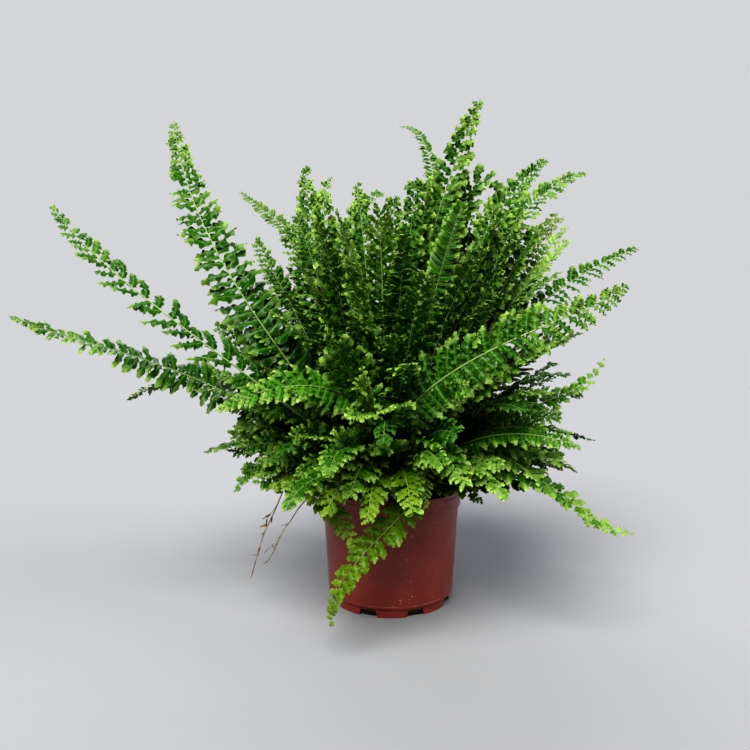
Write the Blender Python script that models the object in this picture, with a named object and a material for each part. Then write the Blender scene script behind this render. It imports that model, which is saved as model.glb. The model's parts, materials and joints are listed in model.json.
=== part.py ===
"""A young Boston fern in a 9 cm nursery pot, standing on its pot.

Metres, +Z up. The origin is the middle of the pot's underside, on the surface
the pot stands on, and -Y is the plant's front.

The pot is a thin moulded shell on a foot with drain slots. The compost fills
it, the scaly crown sits on the compost, and every frond grows out of the
crown as a leaf of its own: a bare stalk that runs on as the midrib of a
tapering blade, toothed along both edges by its pairs of leaflets. Two dry
stalks hang over the rim.
"""

import math

import bpy
from mathutils import Vector
from mathutils.bvhtree import BVHTree

MM = 0.001

# --- driving dimensions ---------------------------------------------------
POT_HEIGHT = 73 * MM
RIM_RADIUS = 45 * MM  # outer edge of the rim band
RIM_BAND = 10.5 * MM  # height of the rim band
RIM_STEP = 0.8 * MM  # how far the band stands out from the wall
BASE_RADIUS = 40 * MM  # outer radius at the bottom of the tapered wall
FOOT_RADIUS = 38 * MM
FOOT_HEIGHT = 6 * MM
POT_WALL = 1.2 * MM
POT_SIDES = 48

DRAIN_SLOTS = 8
DRAIN_WIDTH = 11 * MM
DRAIN_HEIGHT = 4.2 * MM  # how far a slot reaches up the foot
DRAIN_REACH = 8 * MM  # how far it runs in under the floor

GAP = 0.3 * MM  # left between any two pieces that touch
COMPOST_BELOW_RIM = 5 * MM
COMPOST_EDGE = 3 * MM  # where its top rounds off to the pot
CROWN_RADIUS = 29 * MM
CROWN_HEIGHT = 17 * MM
CROWN_RINGS = 9
CROWN_SIDES = 32
CROWN_LOWEST = 60  # degrees from the top, where the lowest fronds leave it
CROWN_HIGHEST = 4  # and where the steepest ones do

STALK_RADIUS = 1.0 * MM  # of a frond's bare stalk
STALK_SHARE = 0.14  # of a frond's length that bears no leaflets
STALK_STAND_OFF = 1.6  # stalk radii a leaning stalk's square end stands off the crown
TOOTH_PITCH = 19 * MM  # each tooth of the blade stands for two pairs of leaflets
FEWEST_TEETH = 4
NOTCH_SHARE = 0.42  # of the blade's width left between two teeth
BLADE_TOP = 0.35 * MM  # ridge of the midrib above the blade
BLADE_BELOW = 0.8 * MM  # and below it
TIP_RADIUS = 0.45 * MM
DRY_STALK_RADIUS = 0.6 * MM

# Fronds that give the plant its outline. Heading and rise say which way the
# stalk leaves the crown: heading 0 is +X, 90 is the back, rise is up from
# level. Droop and turn are how far the midrib bends down and round by its
# tip, and curl is the hook of the last few centimetres. Face turns the blade:
# 0 looks up as it grew, 1 looks to the front, -1 shows the front its back.
# All angles are in degrees, lengths and half widths in millimetres.
LEADING_FRONDS = {
    # name: (heading, rise, droop, turn, length, curl, face, half_width)
    "frond_left_low": (180, 38, 36, 36, 228, -24, 0.35, 17),
    "frond_left_mid": (240, 39, 3, -105, 270, 0, 0.4, 18),
    "frond_left_tall": (225, 52, -12, -110, 265, 0, 0.8, 18),
    "frond_right_big": (262, 49, 48, 132, 212, -28, 0.7, 19),
    "frond_top": (0, 85, 20, -20, 234, 0, 0.9, 17),
    "frond_right_up": (348, 77, 34, 22, 232, 28, 0.7, 18),
    "frond_right": (350, 62, 42, 10, 202, 0, 0.5, 17),
    "frond_right_low": (302, 36, 146, 65, 152, -118, 0.4, 13),
    "frond_front_hang": (289, 2, 78, -125, 125, 20, 0.6, 12),
    "frond_front_hang_short": (213, 26, 100, 155, 115, 0, 0.5, 13),
    "frond_front_dark": (279, 32, 80, -60, 67, 0, 0.5, 13),
    "frond_front_fine": (285, 56, 155, -14, 85, 0, 0.5, 11),
    "frond_left_bright": (245, 62, 110, -64, 152, -22, 0.4, 16),
    "frond_left_droop": (215, 43, 110, -16, 98, 0, 0.4, 12),
    "frond_left_under": (173, 47, 80, 4, 178, 0, -0.3, 15),
    "frond_back_left": (110, 75, 66, 54, 246, -30, 0.7, 15),
    "frond_up_left": (177, 70, -17, -15, 198, 0, 0.8, 16),
    "frond_up_left_short": (209, 75, 2, -12, 184, -34, 0.7, 15),
    "frond_up_middle": (137, 82, 0, 0, 185, 0, 0.8, 15),
    "frond_up_middle_back": (150, 65, -50, -128, 200, 106, 0.7, 15),
    "frond_hook": (30, 68, -36, 105, 262, 100, 0.7, 13),
    "frond_right_up_back": (24, 76, 42, 12, 248, 0, 0.7, 16),
    "frond_right_pale": (9, 62, 0, 4, 194, 30, 0.6, 15),
    "frond_right_pale_back": (28, 52, -13, -6, 189, 44, 0.5, 15),
    "frond_right_dark": (34, 45, 8, -28, 148, 0, -0.3, 15),
    "frond_right_curl": (329, 44, 54, 40, 138, -86, 0.4, 12),
    "frond_right_flat": (31, 32, 70, -36, 134, -25, -0.3, 13),
    "frond_rim_right": (291, 24, 72, 66, 56, 0, 0.4, 11),
    "frond_rim_right_short": (345, 8, 42, 34, 53, 0, 0.3, 11),
}

# The rest of the clump is set round the crown by the golden angle.
FILLING_FRONDS = 26
GOLDEN_ANGLE = 137.508
FILL_FIRST_HEADING = 48
FILL_RISES = (62, 38, 78, 50, 22, 70)
FILL_DROOPS = (46, 58, 30, 50, 40, 38)
FILL_LENGTH_FRONT = 125
FILL_LENGTH_BACK = 185
FILL_SIDE_SHORTENING = 0.7
FILL_HALF_WIDTH = 15

# A frond that would touch one already there is turned a little, in steps
# that spiral outwards from its own place.
TRIES = 900
HEADING_STEP = 1.6
RISE_STEP = 0.7
FACE_STEP = 0.03

# Dry flower stalks of a weed, hanging over the rim on the left. Each comes up
# between the crown and the pot's wall at its own heading, and then runs
# through points given as millimetres out from the rim and up from it, with
# the degrees they lie round from that heading.
DRY_STALKS = {
    "dry_stalk_long": (197, ((0, 0, 7), (9.5, 0, 13.5), (20, 0, 10), (30, -1, -11),
                             (36, -2, -24), (40, -2, -35), (44, -2, -49))),
    "dry_stalk_short": (214, ((-1, 1, 3.5), (7.5, 0, 3.5), (18, -3, -4), (24, -6, -14),
                              (29, -9, -23), (32.5, -10, -32), (37, -12, -41))),
}

# --- colours --------------------------------------------------------------
TERRACOTTA = (0.24, 0.045, 0.03)
COMPOST_BROWN = (0.035, 0.022, 0.014)
CROWN_BROWN = (0.09, 0.045, 0.02)
STRAW = (0.26, 0.22, 0.13)
LEAF_GREENS = ((0.07, 0.2, 0.02), (0.045, 0.14, 0.015), (0.12, 0.3, 0.03))


# --- making objects -------------------------------------------------------
def clear_scene():
    for obj in list(bpy.data.objects):
        bpy.data.objects.remove(obj, do_unlink=True)


def paint(obj, colour, roughness):
    material = bpy.data.materials.new(obj.name)
    material.use_nodes = True
    surface = material.node_tree.nodes["Principled BSDF"]
    surface.inputs["Base Color"].default_value = (*colour, 1)
    surface.inputs["Roughness"].default_value = roughness
    obj.data.materials.append(material)


def add_mesh(name, points, faces):
    mesh = bpy.data.meshes.new(name)
    mesh.from_pydata(points, [], faces)
    mesh.update()
    obj = bpy.data.objects.new(name, mesh)
    bpy.context.scene.collection.objects.link(obj)
    return obj


def turned(name, profile, sides):
    """A solid of revolution. The profile is a closed loop of (radius, height)
    that starts and ends on the axis, going down on its outer side."""
    points, faces = [], []
    rows = []
    for radius, height in profile:
        rows.append(len(points))
        if radius == 0:
            points.append((0, 0, height))
            continue
        for i in range(sides):
            angle = math.tau * i / sides
            points.append((radius * math.cos(angle), radius * math.sin(angle), height))
    for a, b in zip(range(len(profile)), range(1, len(profile))):
        for i in range(sides):
            j = (i + 1) % sides
            first = [rows[a]] if profile[a][0] == 0 else [rows[a] + i, rows[a] + j]
            second = [rows[b]] if profile[b][0] == 0 else [rows[b] + j, rows[b] + i]
            faces.append((first + second)[::-1])
    return add_mesh(name, points, faces)


# --- pot, compost and crown -----------------------------------------------
def outer_radius(height):
    """Outer radius of the tapered wall."""
    share = (height - FOOT_HEIGHT) / (POT_HEIGHT - FOOT_HEIGHT)
    return BASE_RADIUS + (RIM_RADIUS - RIM_STEP - BASE_RADIUS) * share


def inner_radius(height):
    """Inner radius of the tapered wall."""
    return outer_radius(height) - POT_WALL


def make_pot():
    band_foot = POT_HEIGHT - RIM_BAND
    floor_edge = FOOT_HEIGHT + POT_WALL
    profile = (
        (0, POT_WALL),
        (FOOT_RADIUS - POT_WALL, POT_WALL),
        (FOOT_RADIUS - POT_WALL, floor_edge),
        (inner_radius(floor_edge), floor_edge),
        (inner_radius(POT_HEIGHT), POT_HEIGHT),
        (RIM_RADIUS, POT_HEIGHT),
        (RIM_RADIUS - RIM_STEP / 4, band_foot),
        (outer_radius(band_foot), band_foot),
        (BASE_RADIUS, FOOT_HEIGHT),
        (FOOT_RADIUS, FOOT_HEIGHT),
        (FOOT_RADIUS, 0),
        (0, 0),
    )
    pot = turned("pot", profile, POT_SIDES)
    for i in range(DRAIN_SLOTS):
        cut_drain_slot(pot, i)
    pot.data.shade_smooth()
    pot.data.set_sharp_from_angle(angle=math.radians(35))
    paint(pot, TERRACOTTA, 0.45)
    return pot


def cut_drain_slot(pot, index):
    """A slot through the corner between the foot's wall and the floor."""
    inner, outer = FOOT_RADIUS - DRAIN_REACH, BASE_RADIUS + POT_WALL
    low, high = -DRAIN_HEIGHT, DRAIN_HEIGHT
    half = DRAIN_WIDTH / 2
    corners = [
        (x, y, z) for x in (inner, outer) for y in (-half, half) for z in (low, high)
    ]
    faces = [(0, 1, 3, 2), (4, 6, 7, 5), (0, 4, 5, 1), (2, 3, 7, 6), (0, 2, 6, 4), (1, 5, 7, 3)]
    cutter = add_mesh(f"drain_slot_cutter_{index}", corners, faces)
    cutter.rotation_euler.z = math.tau * (index + 0.5) / DRAIN_SLOTS
    cutter.hide_render = True
    cutter.display_type = "WIRE"
    cut = pot.modifiers.new(f"drain_slot_{index}", "BOOLEAN")
    cut.operation = "DIFFERENCE"
    cut.object = cutter


def compost_top():
    return POT_HEIGHT - COMPOST_BELOW_RIM


def make_compost():
    """The root ball: it fills the pot to just under the rim."""
    low = POT_WALL + GAP
    step = FOOT_HEIGHT + POT_WALL + GAP
    top = compost_top()
    shoulder = top - COMPOST_EDGE
    foot = FOOT_RADIUS - POT_WALL - GAP
    profile = (
        (0, top),
        (inner_radius(shoulder) - GAP - COMPOST_EDGE, top - COMPOST_EDGE / 6),
        (inner_radius(shoulder) - GAP, shoulder),
        (inner_radius(step) - GAP, step),
        (foot, step),
        (foot, low),
        (0, low),
    )
    compost = turned("compost", profile, POT_SIDES)
    paint(compost, COMPOST_BROWN, 0.95)
    return compost


def crown_point(heading, polar):
    """A point of the crown's surface, and the direction out of it."""
    h, p = math.radians(heading), math.radians(polar)
    out = Vector((math.sin(p) * math.cos(h), math.sin(p) * math.sin(h), math.cos(p)))
    foot = Vector((0, 0, compost_top() + GAP))
    point = foot + Vector((CROWN_RADIUS * out.x, CROWN_RADIUS * out.y, CROWN_HEIGHT * out.z))
    normal = Vector((out.x / CROWN_RADIUS, out.y / CROWN_RADIUS, out.z / CROWN_HEIGHT))
    return point, normal.normalized()


def make_crown():
    """A low dome of scaly rootstock on the compost."""
    foot = compost_top() + GAP
    profile = [(0, foot + CROWN_HEIGHT)]
    for i in range(1, CROWN_RINGS + 1):
        polar = math.radians(90 * i / CROWN_RINGS)
        profile.append((CROWN_RADIUS * math.sin(polar), foot + CROWN_HEIGHT * math.cos(polar)))
    profile.append((0, foot))
    crown = turned("crown", profile, CROWN_SIDES)
    crown.data.shade_smooth()
    paint(crown, CROWN_BROWN, 0.9)
    return crown


def dry_stalk_route(heading, beyond_rim):
    """The points of a dry stalk, from the compost out over the rim."""
    root = (CROWN_RADIUS + inner_radius(compost_top())) / 2
    places = [(root, 0, compost_top() + GAP + 2 * DRY_STALK_RADIUS)]
    places += [(RIM_RADIUS + out * MM, round_, POT_HEIGHT + up * MM) for out, round_, up in beyond_rim]
    route = []
    for radius, round_, height in places:
        angle = math.radians(heading + round_)
        route.append(Vector((radius * math.cos(angle), radius * math.sin(angle), height)))
    return route


def make_dry_stalk(name, route):
    curve = bpy.data.curves.new(name, "CURVE")
    curve.dimensions = "3D"
    curve.bevel_depth = DRY_STALK_RADIUS
    curve.bevel_resolution = 1
    curve.use_fill_caps = True
    spline = curve.splines.new("POLY")
    points = smooth_line(route, 2)
    spline.points.add(len(points) - 1)
    for corner, place in zip(spline.points, points):
        corner.co = (*place, 1)
    stalk = bpy.data.objects.new(name, curve)
    bpy.context.scene.collection.objects.link(stalk)
    paint(stalk, STRAW, 0.8)
    return stalk


def smooth_line(points, parts):
    """Points along a smooth curve through these, with so many parts between
    each two."""
    ends = [points[0] * 2 - points[1], *points, points[-1] * 2 - points[-2]]
    line = []
    for a, b, c, d in zip(ends, ends[1:], ends[2:], ends[3:]):
        for i in range(parts):
            t = i / parts
            bend = (2 * a - 5 * b + 4 * c - d) * t**2 + (3 * b - a - 3 * c + d) * t**3
            line.append(b + ((c - a) * t + bend) / 2)
    return [*line, points[-1]]


# --- fronds ---------------------------------------------------------------
def frond_stations(length):
    """Shares of the length at which the outline is set, with the width there:
    a bare stalk, then a tooth and a notch for each leaflet modelled."""
    teeth = max(FEWEST_TEETH, round(length * (1 - STALK_SHARE) / TOOTH_PITCH))
    stations = [(0, 0), (STALK_SHARE / 2, 0), (STALK_SHARE, 0)]
    for i in range(1, 2 * teeth):
        along = i / (2 * teeth)
        depth = 1 if i % 2 else NOTCH_SHARE
        stations.append((STALK_SHARE + (1 - STALK_SHARE) * along, blade_spread(along) * depth))
    return [*stations, (1, 0)]


def blade_spread(along):
    """The blade's width at a share of its length: widest a third of the way
    up, with a long taper to the tip."""
    return math.sin(math.pi * along**0.6) ** 0.7


def frond_solid(heading, rise, droop, turn, length, curl, face, half_width, grow=0.0):
    """Points and faces of a frond: rings of four points, left, top, right and
    under, joined along the midrib."""
    polar = min(CROWN_LOWEST, max(CROWN_HIGHEST, 90 - rise))
    base, normal = crown_point(heading, polar)
    stations = frond_stations(length)
    points = []
    place, before = base, 0.0
    for index, (along, spread) in enumerate(stations):
        middle = (along + before) / 2
        direction = midrib_direction(heading, rise, droop, turn, curl, middle)
        place = place + direction * (length * (along - before))
        tangent = midrib_direction(heading, rise, droop, turn, curl, along)
        if index == 0:
            # Far enough out that the stalk's end, cut square, clears the crown.
            lean = tangent.angle(normal)
            place = base + normal * (GAP + STALK_STAND_OFF * STALK_RADIUS * math.sin(lean))
        side, up = blade_frame(tangent, face)
        taper = STALK_RADIUS * (1.25 - 0.9 * along**0.5)
        wide = max(taper, half_width * spread) + grow
        thick = min(1.0, 1.4 - along)
        above = (BLADE_TOP * thick if spread else taper * 0.8) + grow
        below = (BLADE_BELOW * thick if spread else taper) + grow
        if index == len(stations) - 1:
            wide, above, below = TIP_RADIUS + grow, TIP_RADIUS * 0.6 + grow, TIP_RADIUS + grow
        points += [place - side * wide, place + up * above, place + side * wide, place - up * below]
        before = along
    rings = len(stations)
    faces = [(3, 2, 1, 0)]
    for ring in range(rings - 1):
        for i in range(4):
            j = (i + 1) % 4
            a, b = 4 * ring, 4 * (ring + 1)
            faces += [(a + i, a + j, b + j), (a + i, b + j, b + i)]
    last = 4 * (rings - 1)
    faces.append((last, last + 1, last + 2, last + 3))
    return points, faces


def midrib_direction(heading, rise, droop, turn, curl, along):
    """The way the midrib runs at a share of its length."""
    level = math.radians(rise - droop * along**1.5 - curl * along**6)
    round_ = math.radians(heading + turn * along)
    return Vector(
        (
            math.cos(level) * math.cos(round_),
            math.cos(level) * math.sin(round_),
            math.sin(level),
        )
    )


def blade_frame(tangent, face):
    """The blade's side and upward directions square to the midrib."""
    side = tangent.cross(Vector((0, 0, 1)))
    if side.length < 1e-4:
        side = Vector((1, 0, 0))
    up = side.normalized().cross(tangent)
    front = Vector((0, -1, 0)) * (1 if face >= 0 else -1)
    front = front - tangent * front.dot(tangent)
    up = up * (1 - abs(face)) + front * abs(face)
    up = (up - tangent * up.dot(tangent)).normalized()
    return tangent.cross(up).normalized(), up


def turned_a_little(row, attempt):
    """The frond's row with its attempt-th small turn."""
    heading, rise, droop, turn, length, curl, face, half_width = row
    reach = math.sqrt(attempt)
    angle = math.radians(GOLDEN_ANGLE * attempt)
    heading += HEADING_STEP * reach * math.cos(angle)
    rise += RISE_STEP * reach * math.sin(angle)
    face = max(-1, min(1, face + FACE_STEP * reach * math.sin(2.3 * angle)))
    return heading, rise, droop, turn, length, curl, face, half_width


def filling_rows():
    rows = {}
    for i in range(FILLING_FRONDS):
        heading = FILL_FIRST_HEADING + GOLDEN_ANGLE * i
        back = (1 + math.sin(math.radians(heading))) / 2
        length = FILL_LENGTH_FRONT + (FILL_LENGTH_BACK - FILL_LENGTH_FRONT) * back
        rise = FILL_RISES[i % len(FILL_RISES)]
        # One that runs level to a side is shorter, so the leading fronds keep the outline.
        sideways = abs(math.cos(math.radians(heading))) * math.cos(math.radians(rise))
        length *= 1 - FILL_SIDE_SHORTENING * sideways**3
        droop = FILL_DROOPS[i % len(FILL_DROOPS)]
        turn = 24 * math.sin(2.1 * i)
        row = (heading, rise, droop, turn, length, 0, 0.1, FILL_HALF_WIDTH)
        rows[f"frond_inner_{i + 1:02d}"] = row
    return rows


def tree_of(solids):
    points, faces = [], []
    for more_points, more_faces in solids:
        start = len(points)
        points += more_points
        faces += [tuple(start + i for i in face) for face in more_faces]
    return BVHTree.FromPolygons(points, faces)


def evaluated_solid(obj):
    bpy.context.view_layer.update()
    graph = bpy.context.evaluated_depsgraph_get()
    mesh = obj.evaluated_get(graph).to_mesh()
    points = [obj.matrix_world @ v.co for v in mesh.vertices]
    return points, [tuple(p.vertices) for p in mesh.polygons]


def make_fronds(obstacles):
    solids = [evaluated_solid(obj) for obj in obstacles]
    rows = {**LEADING_FRONDS, **filling_rows()}
    for number, (name, row) in enumerate(rows.items()):
        row = (*row[:4], row[4] * MM, row[5], row[6], row[7] * MM)
        placed = tree_of(solids)
        for attempt in range(TRIES):
            trial = turned_a_little(row, attempt)
            grown = tree_of([frond_solid(*trial, grow=GAP)])
            lowest = min(p.z for p in frond_solid(*trial)[0])
            if lowest > GAP and not placed.overlap(grown):
                break
        points, faces = frond_solid(*trial)
        print(f"{name}: {attempt} small turns")
        solids.append((points, faces))
        frond = add_mesh(name, points, faces)
        paint(frond, LEAF_GREENS[number % len(LEAF_GREENS)], 0.5)


def main():
    clear_scene()
    standing = [make_pot(), make_compost(), make_crown()]
    standing += [make_dry_stalk(name, dry_stalk_route(*row)) for name, row in DRY_STALKS.items()]
    make_fronds(standing)


main()
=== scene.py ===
# %% [markdown]
# # A young Boston fern in its nursery pot
#
# The plant stands on its pot. A fern like this is a bundle of separate leaves, called fronds, that all
# rise from one scaly crown. Each frond is a long midrib with two rows of small leaflets, and each leaflet
# has a lobed, wavy edge. Nothing on it is flat or straight, so almost everything here is a mesh worked
# out point by point, with the plant's own growth rules as the formulas.

# %% Setup
import json
import math

import bmesh
import bpy
import numpy as np
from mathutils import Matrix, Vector

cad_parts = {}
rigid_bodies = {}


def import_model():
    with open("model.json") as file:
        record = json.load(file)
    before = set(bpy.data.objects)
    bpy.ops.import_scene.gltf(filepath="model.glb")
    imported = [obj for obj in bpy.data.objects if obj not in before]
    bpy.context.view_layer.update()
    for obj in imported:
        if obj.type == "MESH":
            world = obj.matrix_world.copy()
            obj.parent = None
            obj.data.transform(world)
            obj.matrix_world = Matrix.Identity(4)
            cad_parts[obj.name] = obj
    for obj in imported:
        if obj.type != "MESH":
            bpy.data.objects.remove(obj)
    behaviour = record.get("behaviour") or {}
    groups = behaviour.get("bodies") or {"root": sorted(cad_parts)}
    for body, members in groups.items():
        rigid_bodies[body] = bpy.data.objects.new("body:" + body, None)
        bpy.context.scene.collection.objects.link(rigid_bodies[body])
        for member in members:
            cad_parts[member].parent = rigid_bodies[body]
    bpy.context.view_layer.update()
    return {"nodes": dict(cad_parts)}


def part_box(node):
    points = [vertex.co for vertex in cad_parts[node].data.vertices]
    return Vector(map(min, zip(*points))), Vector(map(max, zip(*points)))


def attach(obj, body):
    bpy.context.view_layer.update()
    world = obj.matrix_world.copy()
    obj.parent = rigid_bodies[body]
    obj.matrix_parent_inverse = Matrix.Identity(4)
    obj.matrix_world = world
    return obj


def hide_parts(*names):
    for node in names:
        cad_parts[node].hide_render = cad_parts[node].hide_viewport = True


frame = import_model()
MM = 0.001
pot_low, pot_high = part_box("pot")
compost_low, compost_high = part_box("compost")
crown_low, crown_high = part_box("crown")
print("pot, mm across and tall:", round((pot_high.x - pot_low.x) / MM), round(pot_high.z / MM))

# %% [markdown]
# ## Small helpers
#
# Colours are picked as sRGB hex values, the way a paint chart gives them, but shaders want linear light.
# One function does that change. A second adds a shader node, sets its values and joins its inputs, so a
# material reads as a short list of what feeds what. A third makes a mesh from its points and faces, with
# the numbers that a material reads at each point.


# %% Colour and node helpers
def linear(hex_code):
    """An sRGB hex colour as linear red, green, blue and alpha."""
    parts = [int(hex_code[i : i + 2], 16) / 255 for i in (1, 3, 5)]
    return (*(p / 12.92 if p <= 0.04045 else ((p + 0.055) / 1.055) ** 2.4 for p in parts), 1)


def add_node(tree, kind, inputs=(), out=0, **settings):
    """A shader node with its settings and its inputs, each a value or another node's output to join to
    it. It gives back one of the node's own outputs."""
    node = tree.nodes.new("ShaderNode" + kind)
    for key, value in settings.items():
        setattr(node, key, value)
    for key, value in dict(inputs).items():
        if isinstance(value, bpy.types.NodeSocket):
            tree.links.new(value, node.inputs[key])
        else:
            node.inputs[key].default_value = value
    return node.outputs[out] if node.outputs else node


def new_material(name):
    """An empty node material, its tree, and the place of each point on the object, in metres."""
    material = bpy.data.materials.new(name)
    material.use_nodes = True
    material.node_tree.nodes.clear()
    return material, material.node_tree, add_node(material.node_tree, "TexCoord", out="Object")


# %% [markdown]
# A Mix node has one set of sockets for each kind of data. These are its settings for colours, with the
# numbers of its colour sockets, and the scale that a noise pattern needs for grains of one millimetre, on
# an object measured in metres.

# %% Socket numbers and scales
SHARE, FIRST, SECOND = 0, 6, 7
OF_COLOURS = {"data_type": "RGBA", "out": 2}
PER_MM = 1 / MM


# %% Adding pieces
def new_mesh(name, points, faces, materials=(), **values):
    """A smooth mesh, with its materials and the numbers that they read at each point."""
    mesh = bpy.data.meshes.new(name)
    mesh.from_pydata(points, [], faces)
    for key, numbers in values.items():
        mesh.attributes.new(key, "FLOAT", "POINT").data.foreach_set("value", numbers)
    for material in materials:
        mesh.materials.append(material)
    mesh.shade_smooth()
    return mesh


def add_object(name, data):
    """An object in the scene, from a mesh, a lamp or a camera."""
    made = bpy.data.objects.new(name, data)
    bpy.context.scene.collection.objects.link(made)
    return made


def show(name, mesh, stands_for=()):
    """A piece of the plant. It goes where the pot goes, and may stand for solids of the model."""
    piece = add_object(name, mesh)
    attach(piece, "root")
    if stands_for:
        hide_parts(*stands_for)


# %% [markdown]
# ## Camera
#
# The eye is about 46 cm from the pot and level with the middle of the fronds, looking down by a few
# degrees, through a lens of about 35 mm on a full-frame sensor.

# %% Camera
CAMERA_PLACE = Vector((-0.0102, -0.460, 0.182))
CAMERA_DOWN = math.radians(4.7)
LENS_MM, SENSOR_MM = 34.66, 36

camera = add_object("camera", bpy.data.cameras.new("camera"))
camera.location = CAMERA_PLACE
camera.rotation_euler = (math.radians(90) - CAMERA_DOWN, 0, 0)
camera.data.lens, camera.data.sensor_width = LENS_MM, SENSOR_MM
camera.data.clip_start = 10 * MM
bpy.context.scene.camera = camera
print("camera stands", round(-CAMERA_PLACE.y / MM), "mm in front of the pot")

# %% [markdown]
# ## Floor and light
#
# A fern is full of gaps, so a light that is too even would fill them and flatten it. One soft sun above
# the front, as from a large window, gives the leaflets their lit upper sides. Two weaker ones light the
# pot's edge from the right and the plant's back from behind. The room's own light is kept low, so that the
# heart of the plant goes dark, while the wall that the camera sees behind it stays pale.


# %% Floor and light
FLOOR_HALF = 6.0  # metres from the pot to the floor's edge
PATCH_MM = 20


def add_floor():
    """A wide plain floor at the pot's foot."""
    material, tree, place = new_material("painted_studio_floor")
    patches = add_node(tree, "TexNoise", {"Vector": place, "Scale": PER_MM / PATCH_MM, "Detail": 3})
    tones = {SHARE: patches, FIRST: linear("#888b90"), SECOND: linear("#8a8c91")}
    tone = add_node(tree, "Mix", tones, **OF_COLOURS)
    matt = {"Base Color": tone, "Roughness": 0.9, "Specular IOR Level": 0.0}
    paint = add_node(tree, "BsdfPrincipled", matt)
    add_node(tree, "OutputMaterial", {"Surface": paint})
    corners = [(x * FLOOR_HALF, y * FLOOR_HALF, 0) for x, y in ((-1, -1), (1, -1), (1, 1), (-1, 1))]
    add_object("floor", new_mesh("floor", corners, [(0, 1, 2, 3)], [material]))


def add_sun(name, toward, strength, softness, colour):
    """A far lamp that shines from this direction. Its softness is the angle, in degrees, that it fills in
    the sky."""
    lamp = bpy.data.lights.new(name, "SUN")
    lamp.energy = strength
    lamp.angle = math.radians(softness)
    lamp.color = linear(colour)[:3]
    sun = add_object(name, lamp)
    sun.rotation_euler = Vector(toward).to_track_quat("Z", "Y").to_euler()


def light_room():
    """A pale wall for the camera, and a dimmer light from all round for the plant."""
    world = bpy.data.worlds.new("pale_room")
    world.use_nodes = True
    tree = world.node_tree
    tree.nodes.clear()
    wall = add_node(tree, "Background", {"Color": linear("#babbbd"), "Strength": 1.0})
    fill = add_node(tree, "Background", {"Color": linear("#f0f4ea"), "Strength": 0.13})
    seen = add_node(tree, "LightPath", out="Is Camera Ray")
    both = add_node(tree, "MixShader", {0: seen, 1: fill, 2: wall})
    add_node(tree, "OutputWorld", {"Surface": both})
    bpy.context.scene.world = world


add_floor()
add_sun("window_sun", (-0.32, -0.9, 1.15), 5.6, 42, "#fffaf2")
add_sun("right_fill", (1.0, -0.25, 0.6), 1.2, 40, "#fcfcff")
add_sun("back_fill", (-0.2, 1.0, 0.7), 1.8, 60, "#fcfcff")
light_room()
bpy.context.scene.view_settings.view_transform = "Standard"
bpy.context.scene.view_settings.look = "High Contrast"

# %% [markdown]
# ## Fern leaf
#
# A living leaf is a thin skin full of water and chlorophyll. It grows with a smooth waxy upper side, so
# it has a soft sheen there, and light also passes through it: a leaf against the light glows
# yellow-green. A Principled surface gives the sheen, and a Translucent one mixed with it gives the glow.
# Young leaf is pale and yellow, old leaf is deep green, and every leaflet is lighter along its vein. Its
# tip is paler as young growth and as a painted highlight, and its rim is paler as a painted highlight.
# The mesh carries three values to say so at each point: how far along the leaflet it is, how far across,
# and how young. The youth value also falls towards the crown, which paints shade into the plant's heart.


# %% Fern leaf material
def fern_leaf(name, deep, full, young, glow):
    """Living leaf in a deep, a full and a young green, with the colour light takes through it."""
    material, tree, place = new_material(name)
    keys = ("along", "across", "youth")
    along, across, youth = (add_node(tree, "Attribute", out="Fac", attribute_name=key) for key in keys)
    blotches = add_node(tree, "TexNoise", {"Vector": place, "Scale": PER_MM / 5, "Detail": 3})
    cells = add_node(tree, "TexNoise", {"Vector": place, "Scale": PER_MM / 0.7})
    # The tip is the youngest part of a leaflet and is paler, partly as a painted highlight. Its vein is
    # paler than the skin between, and its rim is paler as a painted highlight.
    # Each row reads a value from its first number to its second, and gives the third to the fourth.
    ranges = {
        "grown": (youth, 0.05, 0.55, 0, 1),
        "blotch": (blotches, 0.4, 0.75, 0, 0.35),
        "young": (youth, 0.5, 1, 0, 1),
        "ripe": (youth, 0.05, 0.5, 0.25, 0.9),
        "tip": (along, 0.62, 1, 0, 0.75),
        "fading": (along, 0.2, 1, 0.22, 0.08),
        "vein": (across, 0, 0.22, 1, 0),
        "rim": (across, 0.75, 1, 0, 0.25),
        "gloss": (cells, 0.3, 0.7, 0.26, 0.4),
    }
    share = {}
    for key, (value, low, high, at_low, at_high) in ranges.items():
        span = {"Value": value, "From Min": low, "From Max": high, "To Min": at_low, "To Max": at_high}
        share[key] = add_node(tree, "MapRange", span)
    for key, limit in {"tip": "ripe", "vein": "fading", "rim": "ripe"}.items():
        share[key] = add_node(tree, "Math", {0: share[key], 1: share[limit]}, operation="MULTIPLY")
    green = linear(deep)
    # The young colour on the tip is partly, and on the rim wholly, a painted highlight.
    layers = {"grown": full, "blotch": full, "young": young, "tip": young, "vein": young, "rim": young}
    for key, colour in layers.items():
        coat = {SHARE: share[key], FIRST: green, SECOND: linear(colour)}
        green = add_node(tree, "Mix", coat, **OF_COLOURS)
    # Fine cells catch the light a little differently from one to the next.
    surface = {
        "Base Color": green,
        "Roughness": share["gloss"],
        "IOR": 1.45,
        "Specular IOR Level": 0.24,
        "Normal": add_node(tree, "Bump", {"Height": cells, "Distance": 0.15 * MM, "Strength": 0.35}),
    }
    skin = add_node(tree, "BsdfPrincipled", surface)
    glowing = {SHARE: 0.6, FIRST: green, SECOND: linear(glow)}
    through = add_node(tree, "Mix", glowing, **OF_COLOURS)
    backlight = add_node(tree, "BsdfTranslucent", {"Color": through})
    leaf = add_node(tree, "MixShader", {0: 0.26, 1: skin, 2: backlight})
    add_node(tree, "OutputMaterial", {"Surface": leaf})
    return material


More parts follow.
